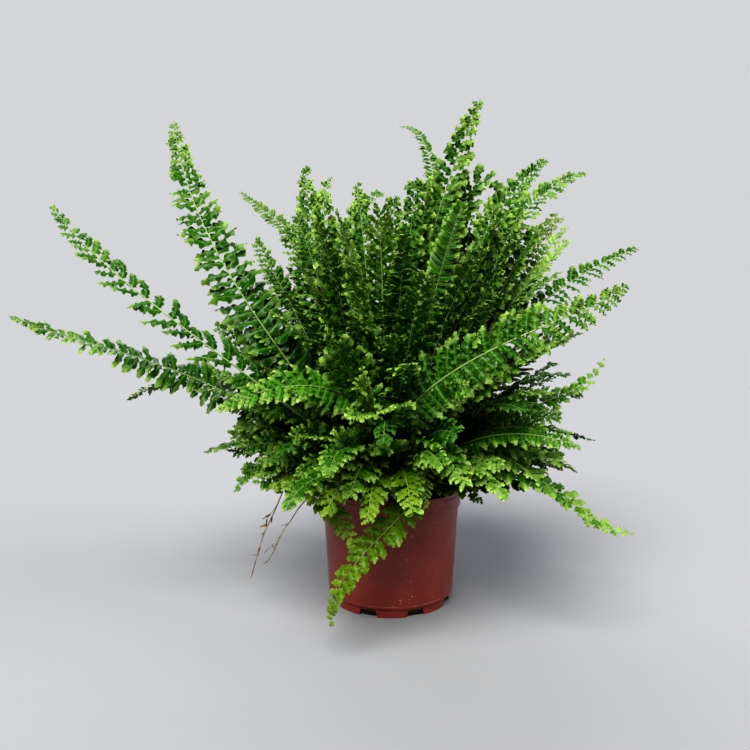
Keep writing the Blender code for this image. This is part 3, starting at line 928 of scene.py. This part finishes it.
for number, (name, (habit, places)) in enumerate(FULLER_PLACES.items()):
    ribs = []
    for *tip, bow, face, half_width in places:
        tip = np.array(tip) * MM
        way = tip - np.array(CROWN_HEART)
        heading = math.degrees(math.atan2(way[1], way[0]))
        rise = math.degrees(math.asin(way[2] / np.linalg.norm(way)))
        ribs.append(reaching_midrib(heading, rise, tip, bow, face, half_width * MM))
    full = {**USUAL, **habit, "rib_radius": THICKET_RIB}
    show(name, frond_mesh(name, ribs, full, np.random.default_rng(300 + number)))
print("fuller places:", ", ".join(FULLER_PLACES))

# %% [markdown]
# ## Crown
#
# The crown is the short thick stem that all the fronds grow from. It sits in the compost like a rough
# brown knot, covered in papery scales. A plain dome would show between the stalks, so it gets a lumpy
# surface and some hundreds of scales, each a small pointed blade made by the same function as the
# leaflets, with its notches left out.


# %% Crown materials
def papery_scale():
    """Dead scale tissue: thin, dry and matt, from straw to dark brown."""
    material, tree, place = new_material("papery_crown_scales")
    age = add_node(tree, "Attribute", out="Fac", attribute_name="youth")
    along = add_node(tree, "Attribute", out="Fac", attribute_name="along")
    ages = {SHARE: age, FIRST: linear("#3a2413"), SECOND: linear("#9a7142")}
    tone = add_node(tree, "Mix", ages, **OF_COLOURS)
    end = add_node(tree, "MapRange", {"Value": along, "From Min": 0.4, "To Max": 0.4})
    ends = {SHARE: end, FIRST: tone, SECOND: linear("#b08c5c")}
    tone = add_node(tree, "Mix", ends, **OF_COLOURS)
    fibres = add_node(tree, "TexNoise", {"Vector": place, "Scale": PER_MM / 0.6})
    relief = add_node(tree, "Bump", {"Height": fibres, "Distance": 0.15 * MM, "Strength": 0.5})
    paper = add_node(tree, "BsdfPrincipled", {"Base Color": tone, "Roughness": 0.8, "Normal": relief})
    add_node(tree, "OutputMaterial", {"Surface": paper})
    return material


def peat(name, dark, light):
    """Peat compost: crumbs of dark fibre, dull, with lighter bits of wood and root among them."""
    material, tree, place = new_material(name)
    crumbs = add_node(tree, "TexNoise", {"Vector": place, "Scale": PER_MM / 2.5, "Detail": 5})
    crumb_tone = add_node(tree, "MapRange", {"Value": crumbs, "From Min": 0.35, "From Max": 0.65})
    tones = {SHARE: crumb_tone, FIRST: linear(dark), SECOND: linear(light)}
    tone = add_node(tree, "Mix", tones, **OF_COLOURS)
    fibres = add_node(tree, "TexNoise", {"Vector": place, "Scale": PER_MM / 0.5, "Detail": 4})
    bits = add_node(tree, "MapRange", {"Value": fibres, "From Min": 0.6, "From Max": 0.75, "To Max": 0.6})
    woody = {SHARE: bits, FIRST: tone, SECOND: linear("#6d4f33")}
    tone = add_node(tree, "Mix", woody, **OF_COLOURS)
    relief = add_node(tree, "Bump", {"Height": fibres, "Distance": 0.6 * MM, "Strength": 0.9})
    dull = add_node(tree, "BsdfPrincipled", {"Base Color": tone, "Roughness": 0.95, "Normal": relief})
    add_node(tree, "OutputMaterial", {"Surface": dull})
    return material


SCALES, COMPOST = papery_scale(), peat("crumbly_peat_compost", "#1b120b", "#3b291a")
KNOT = peat("scaly_crown_bark", "#24160c", "#4f3620")

# %% Lumpy turned surfaces
DOME_CENTRE = np.array([0, 0, crown_low.z - 8 * MM])  # the crown's slopes face away from here
WAVES = np.random.default_rng(3).normal(size=(24, 3))
WAVE_PHASES = np.random.default_rng(4).uniform(0, 2 * np.pi, 24)


def lumps(points, size):
    """A smooth random height, from -1 to 1 or so, with lumps of about this size."""
    return np.sin(points @ WAVES.T / size + WAVE_PHASES).mean(axis=-1) * 3


def turned_grid(profile, sides):
    """Points of a turned surface, as rows of rings, from radii and heights."""
    turn = np.linspace(0, 2 * np.pi, sides, endpoint=False)
    rings = [[(r * math.cos(a), r * math.sin(a), z) for a in turn] for r, z in profile]
    return np.array(rings)


def turned_mesh(name, rings, material):
    """A closed mesh through rings of points, with a flat cap on each end."""
    count, sides = rings.shape[:2]
    a = np.arange(sides)
    b = (a + 1) % sides
    quad = np.stack([a, b, b + sides, a + sides], axis=1)
    quads = np.concatenate([quad + i * sides for i in range(count - 1)])
    caps = [a[::-1].tolist(), (a + (count - 1) * sides).tolist()]
    return new_mesh(name, rings.reshape(-1, 3), quads.tolist() + caps, [material])


def add_crown():
    """A lumpy knot just inside the crown's dome."""
    polar = np.radians(np.linspace(90, 4, 22))
    profile = [(CROWN_RADIUS * math.sin(p), crown_low.z + CROWN_HEIGHT * math.cos(p)) for p in polar]
    rings = turned_grid(profile, 72)
    out = unit(rings - DOME_CENTRE)
    rings = rings - out * (1.2 - lumps(rings, 4 * MM)[..., None]) * MM
    rings[0, :, 2] = crown_low.z
    show("crown_knot", turned_mesh("crown_knot", rings, KNOT), ["crown"])


SCALE_HABIT = dict(USUAL, lobes=2, cut=0, ear=0, end=0.99, blunt=1.6, forward=0, droop=20)


def add_blades(name, base, way, straying, lengths, slimness, oldest, rng):
    """Small separate blades of dead tissue. Each grows from its base, straying at random from its way."""
    out = unit(way + rng.normal(size=base.shape) * straying)
    ahead = unit(np.cross(out, unit(rng.normal(size=out.shape))))
    above = np.cross(out, ahead)
    length = rng.uniform(*lengths, len(base)) * MM
    cloud = leaflets(base, out, ahead, above, length, length * slimness, SCALE_HABIT, rng)
    lobes = SCALE_HABIT["lobes"]
    quads = leaflet_grid(lobes)[None] + np.arange(len(cloud))[:, None, None] * cloud.shape[1]
    mirrored = is_mirrored(out, ahead, above)
    quads[mirrored] = quads[mirrored][:, :, ::-1]
    values = {"along": np.tile(grid_values(lobes)[0], len(cloud))}
    values["youth"] = np.repeat(rng.uniform(0, oldest, len(base)), cloud.shape[1])
    quads = quads.reshape(-1, 4).tolist()
    show(name, new_mesh(name, cloud.reshape(-1, 3), quads, [SCALES], **values))


def add_crown_scales(count=900):
    """Scales over the whole dome, each lying partly along it and partly upright."""
    rng = np.random.default_rng(21)
    heading, polar = rng.uniform(0, 360, count), np.degrees(np.arccos(rng.uniform(0.05, 0.99, count)))
    base = np.array([crown_point(h, p) for h, p in zip(heading, polar)])
    outward = unit(base - DOME_CENTRE)
    base, way = base - outward * MM, outward + np.array([0, 0, 0.5])
    add_blades("crown_scales", base, way, 0.55, (3, 8), 0.11, 1, rng)


add_crown()
add_crown_scales()
print("crown, mm across:", round(2 * CROWN_RADIUS / MM))

# %% [markdown]
# ## Compost
#
# Nursery compost is milled peat. From above it is a dark bed of crumbs that has settled a little below
# the rim, with the finest roots running over it. The bed is a turned solid whose top is pushed up and down
# by smooth random waves, and the crumbs on it are small lumps of their own, because a bump in a material
# would not show at its edge.


# %% Compost bed and crumbs
BED_SIDES = 96
BED_STEP = 7.5 * MM  # height of the step where the bed widens above the pot's foot
CRUMBS = 420


def add_bed():
    """The root ball, with a rough top. It fills the pot from just above its floor."""
    top = compost_high.z
    foot_radius = compost_high.x - 5 * MM
    profile = [(foot_radius, compost_low.z), (foot_radius, BED_STEP)]
    profile += [(foot_radius + 2 * MM, BED_STEP + 0.1 * MM), (compost_high.x, top - 3 * MM)]
    profile += [(compost_high.x * (1 - i / 26), top) for i in range(1, 26)]
    rings = turned_grid(profile, BED_SIDES)
    surface = rings[4:]
    surface[..., 2] += (lumps(surface, 3 * MM) + lumps(surface, 1.1 * MM) * 0.5 - 0.6) * MM
    show("compost_bed", turned_mesh("compost_bed", rings, COMPOST), ["compost"])


def add_crumbs():
    """Lumps of peat on the bed, thickest next to the pot's wall."""
    rng = np.random.default_rng(31)
    cloud = bmesh.new()
    for _ in range(CRUMBS):
        size = rng.uniform(0.5, 1.7) * MM
        radius = compost_high.x - 1.5 * MM - abs(rng.normal()) * 7 * MM
        turn = rng.uniform(0, 2 * np.pi)
        place = Vector((radius * math.cos(turn), radius * math.sin(turn), compost_high.z + size * 0.2))
        lump = bmesh.ops.create_icosphere(cloud, subdivisions=1, radius=size)["verts"]
        stretch = rng.uniform(0.6, 1.3, 3)
        for v in lump:
            v.co = Vector([c * k * rng.uniform(0.75, 1.2) for c, k in zip(v.co, stretch)]) + place
    mesh = bpy.data.meshes.new("compost_crumbs")
    cloud.to_mesh(mesh)
    cloud.free()
    mesh.materials.append(COMPOST)
    mesh.shade_smooth()
    show("compost_crumbs", mesh)


def tube_mesh(name, routes, radii, material):
    """One mesh of separate round strands. Each has its route and its radius at both ends."""
    points, faces, along = [], [], []
    start = 0
    for route, (thick, thin) in zip(routes, radii):
        count = len(route)
        tangent = unit(np.gradient(route, axis=0))
        side = unit(np.cross(tangent, [0.13, 0.21, 0.97]))
        share = np.linspace(0, 1, count)
        strand, quads = tube(route, np.cross(side, tangent), side, thick + (thin - thick) * share)
        points.append(strand)
        faces.append(quads + start)
        along.append(np.repeat(share, RIB_SIDES))
        start += len(strand)
    faces = np.concatenate(faces).tolist()
    return new_mesh(name, np.concatenate(points), faces, [material], along=np.concatenate(along))


def add_fine_roots(count=26):
    """Thin roots that run over the compost from under the crown."""
    rng = np.random.default_rng(41)
    routes = []
    for _ in range(count):
        start, bend = rng.uniform(0, 2 * np.pi), rng.uniform(-0.9, 0.9)
        share = np.linspace(0, 1, 14)
        radius = CROWN_RADIUS - 4 * MM + share * rng.uniform(8, 15) * MM
        turn = start + bend * share + 0.05 * np.sin(9 * share + start)
        height = compost_high.z + (0.5 + 0.7 * np.sin(7 * share + start)) * MM
        routes.append(np.stack([radius * np.cos(turn), radius * np.sin(turn), height], axis=1))
    radii = [(0.35 * MM, 0.14 * MM)] * count
    show("fine_roots", tube_mesh("fine_roots", routes, radii, MIDRIBS["brown"]))


add_bed()
add_crumbs()
add_fine_roots()
print("compost top, mm:", round(compost_high.z / MM, 1))

# %% [markdown]
# ## Pot
#
# This is the common thin nursery pot, injection-moulded in polypropylene and coloured like fired clay. The
# mould gives it a thin tapered wall, a stiffening band round the rim, a stepped foot, and slots in the
# foot for water to run out. It could be kept as the plain solid of the model, but the eye reads plastic
# from its small rounded edges, so it is turned again from the same sizes with those edges in its profile.


# %% Moulded polypropylene
def moulded_plastic():
    """Polypropylene has a low waxy sheen. Handling leaves pale scuffs, and wet compost leaves dirt."""
    material, tree, place = new_material("moulded_polypropylene")
    # Each kind of patch has its size in mm, its detail, the noise where it starts and where it is full,
    # and how strongly it then shows.
    patches = {
        "shade": (12, 3, 0.3, 0.7, 1),
        "scuff": (1.4, 5, 0.6, 0.7, 0.7),
        "handled": (14, 1, 0.52, 0.64, 1),
        "speck": (1.1, 3, 0.64, 0.7, 0.8),
        "smear": (4, 4, 0.3, 0.7, 1),
    }
    share = {}
    for key, (size, detail, start, full, most) in patches.items():
        noise = add_node(tree, "TexNoise", {"Vector": place, "Scale": PER_MM / size, "Detail": detail})
        span = {"Value": noise, "From Min": start, "From Max": full, "To Max": most}
        share[key] = add_node(tree, "MapRange", span)
    # Splashed compost clings round the foot, and scuffs lie only where hands have been.
    height = add_node(tree, "SeparateXYZ", {0: place}, out="Z")
    low_down = {"Value": height, "From Max": pot_high.z * 0.22, "To Min": 1.0, "To Max": 0.1}
    share["splashed"] = add_node(tree, "MapRange", low_down)
    for key, limit in {"scuff": "handled", "speck": "splashed"}.items():
        share[key] = add_node(tree, "Math", {0: share[key], 1: share[limit]}, operation="MULTIPLY")
    tone = linear("#742e25")
    for key, colour in {"shade": "#80362a", "scuff": "#b98878", "speck": "#24150d"}.items():
        coat = {SHARE: share[key], FIRST: tone, SECOND: linear(colour)}
        tone = add_node(tree, "Mix", coat, **OF_COLOURS)
    ripples = add_node(tree, "TexNoise", {"Vector": place, "Scale": PER_MM / 0.8})
    plastic = {
        "Base Color": tone,
        "Roughness": add_node(tree, "MapRange", {"Value": share["smear"], "To Min": 0.26, "To Max": 0.4}),
        "IOR": 1.49,
        "Specular IOR Level": 0.5,
        "Normal": add_node(tree, "Bump", {"Height": ripples, "Distance": 0.05 * MM, "Strength": 0.4}),
    }
    add_node(tree, "OutputMaterial", {"Surface": add_node(tree, "BsdfPrincipled", plastic)})
    return material


# %% Turning the pot
RIM_BAND = 10.5 * MM  # height of the stiffening band
RIM_STEP = 0.8 * MM  # how far the band stands out
WALL = 1.2 * MM
FOOT_HEIGHT = 6 * MM
FOOT_RADIUS = 38 * MM
BASE_RADIUS = 40 * MM  # of the wall, just above the foot
LINE_DEPTH = 0.25 * MM  # of the fine moulded lines
POT_SIDES = 144
DRAIN_SLOTS = 8
CORNER_PARTS = 4
PLASTIC_CREASE = math.radians(40)


def rounded(profile):
    """The profile with its corners turned into small arcs. A point is radius, height, corner size."""
    line = []
    for before, (r, z, size), after in zip([profile[0], *profile], profile, [*profile[1:], profile[-1]]):
        if size == 0:
            line.append((r, z))
            continue
        corner = Vector((r, z))
        ways = [(Vector(end[:2]) - corner).normalized() * size for end in (before, after)]
        for i in range(CORNER_PARTS + 1):
            t = i / CORNER_PARTS
            line.append(tuple(corner + ways[0] * (1 - t) ** 2 + ways[1] * t**2))
    return line


def wall_radius(z):
    """Outer radius of the tapered wall at a height."""
    share = (z - FOOT_HEIGHT) / (pot_high.z - FOOT_HEIGHT)
    return BASE_RADIUS + (pot_high.x - RIM_STEP - BASE_RADIUS) * share


def pot_profile():
    """From the middle of the inside floor, up the inside, over the rim and down to the underside."""
    top, floor = pot_high.z, FOOT_HEIGHT + WALL
    band = top - RIM_BAND
    profile = [
        (0.2 * MM, WALL, 0),
        (FOOT_RADIUS - WALL, WALL, 0),
        (FOOT_RADIUS - WALL, floor, 0),
        (wall_radius(floor) - WALL, floor, 0),
        (wall_radius(top) - WALL, top, 0.35 * MM),
        (pot_high.x, top, 0.5 * MM),
        (pot_high.x - 0.1 * MM, top - 2.4 * MM, 0.15 * MM),
        (pot_high.x - 0.1 * MM - LINE_DEPTH, top - 2.7 * MM, 0.1 * MM),
        (pot_high.x - 0.15 * MM, top - 3.1 * MM, 0.15 * MM),
        (pot_high.x - RIM_STEP / 4, band, 0.3 * MM),
        (wall_radius(band), band - 0.1 * MM, 0.25 * MM),
    ]
    profile += [(wall_radius(band * (1 - k / 8)), band * (1 - k / 8), 0) for k in range(1, 7)]
    profile += [
        (BASE_RADIUS + 0.15 * MM, FOOT_HEIGHT + 2.2 * MM, 0.15 * MM),
        (BASE_RADIUS + 0.15 * MM - LINE_DEPTH, FOOT_HEIGHT + 1.9 * MM, 0.1 * MM),
        (BASE_RADIUS + 0.1 * MM, FOOT_HEIGHT + 1.5 * MM, 0.15 * MM),
        (BASE_RADIUS, FOOT_HEIGHT, 0.5 * MM),
        (FOOT_RADIUS, FOOT_HEIGHT - 0.3 * MM, 0.3 * MM),
        (FOOT_RADIUS, 0, 0.3 * MM),
        (0.2 * MM, 0, 0),
    ]
    return rounded(profile)


def slot_cutter(index):
    """A wedge that cuts one drain slot, wider at the bottom, as the mould has to draw out."""
    inner, outer = FOOT_RADIUS - 8 * MM, BASE_RADIUS + 2 * MM
    low, high = -2 * MM, 4.2 * MM
    halves = {low: 6.6 * MM, high: 4.8 * MM}
    corners = [(x, y * halves[z], z) for x in (inner, outer) for y in (-1, 1) for z in (low, high)]
    faces = [(0, 1, 3, 2), (4, 6, 7, 5), (0, 4, 5, 1), (2, 3, 7, 6), (0, 2, 6, 4), (1, 5, 7, 3)]
    cutter = add_object("slot_cutter", new_mesh("slot_cutter", corners, faces))
    cutter.rotation_euler.z = 2 * math.pi * (index + 0.5) / DRAIN_SLOTS
    return cutter


def add_pot():
    """The turned shell with its drain slots cut out."""
    rings = turned_grid(pot_profile(), POT_SIDES)[:, ::-1]
    mesh = turned_mesh("pot_shell", rings, moulded_plastic())
    blank = add_object("pot_blank", mesh)
    cutters = [slot_cutter(i) for i in range(DRAIN_SLOTS)]
    for cutter in cutters:
        cut = blank.modifiers.new("slot", "BOOLEAN")
        cut.object = cutter
        cut.operation = "DIFFERENCE"
    graph = bpy.context.evaluated_depsgraph_get()
    shell = bpy.data.meshes.new_from_object(blank.evaluated_get(graph), depsgraph=graph)
    shell.name = "moulded_pot"
    for helper in [blank, *cutters]:
        bpy.data.objects.remove(helper, do_unlink=True)
    shell.shade_smooth()
    shell.set_sharp_from_angle(angle=PLASTIC_CREASE)
    show("moulded_pot", shell, ["pot"])
    return shell


shell = add_pot()
print("pot faces:", len(shell.polygons))

# %% [markdown]
# ## Dry stalks
#
# Two stalks of an old grass-like stem hang over the rim, thin and straw-coloured, with dark little
# spikelets near their ends. Each follows its solid in the model, which is read the same way as the
# midribs, and tapers as a real stem does.


# %% Dry stalks
def dry_straw():
    """A dead stem: pale, matt, and darker where it has weathered."""
    material, tree, place = new_material("dry_straw")
    streaks = add_node(tree, "TexNoise", {"Vector": place, "Scale": PER_MM / 3, "Detail": 3})
    weathering = add_node(tree, "MapRange", {"Value": streaks, "From Min": 0.35, "From Max": 0.65})
    tones = {SHARE: weathering, FIRST: linear("#6f6a4c"), SECOND: linear("#a39a74")}
    tone = add_node(tree, "Mix", tones, **OF_COLOURS)
    along = add_node(tree, "Attribute", out="Fac", attribute_name="along")
    end = add_node(tree, "MapRange", {"Value": along, "From Min": 0.6, "To Max": 0.6})
    ends = {SHARE: end, FIRST: tone, SECOND: linear("#4a3a34")}
    tone = add_node(tree, "Mix", ends, **OF_COLOURS)
    stem = add_node(tree, "BsdfPrincipled", {"Base Color": tone, "Roughness": 0.7})
    add_node(tree, "OutputMaterial", {"Surface": stem})
    return material


STRAW = dry_straw()
STALK_CORNERS = 6  # of the model's own tube
STALK_POINTS = 70
TWIG_LENGTH = 14 * MM
TWIG_SPREAD = 9 * MM


def stalk_route(node):
    """A smooth line through the middles of the model's stalk."""
    centres = np.array([ring.mean(axis=0) for ring in rings_of(node, STALK_CORNERS)])
    return smooth_through(centres, np.linspace(0, len(centres) - 1, STALK_POINTS))


def add_dry_stalk(node, spikelets, branch_at):
    """A stalk with one side twig, which leaves it at this share of its length. Returns its length in mm."""
    rng = np.random.default_rng(len(node))
    route = stalk_route(node)
    last = STALK_POINTS - 1
    start = route[int(branch_at * last)]
    share = np.linspace(0, 1, 16)[:, None]
    twig = start + unit(route[-1] - start) * share * TWIG_LENGTH
    twig += np.array([-0.2, -0.5, 0.4]) * share**1.4 * TWIG_SPREAD
    radii = [(0.55 * MM, 0.22 * MM), (0.28 * MM, 0.14 * MM)]
    stem = tube_mesh(f"{node}_stem", [route, twig], radii, STRAW)
    show(stem.name, stem, [node])
    # Spikelets sit along its last third, and two on the twig.
    where = (np.linspace(0.62, 0.995, spikelets) * last).astype(int)
    base = np.concatenate([route[where], twig[[-5, -1]]])
    way = unit(np.concatenate([np.gradient(route, axis=0)[where], twig[[-1, -1]] - twig[[-5, -3]]]))
    add_blades(f"{node}_spikelets", base, way, 0.45, (4.5, 8), 0.1, 0.3, rng)
    return round(np.linalg.norm(np.diff(route, axis=0), axis=1).sum() / MM)


long_stalk = add_dry_stalk("dry_stalk_long", 9, 0.55)
short_stalk = add_dry_stalk("dry_stalk_short", 3, 0.7)
print("dry stalks, mm:", long_stalk, short_stalk)
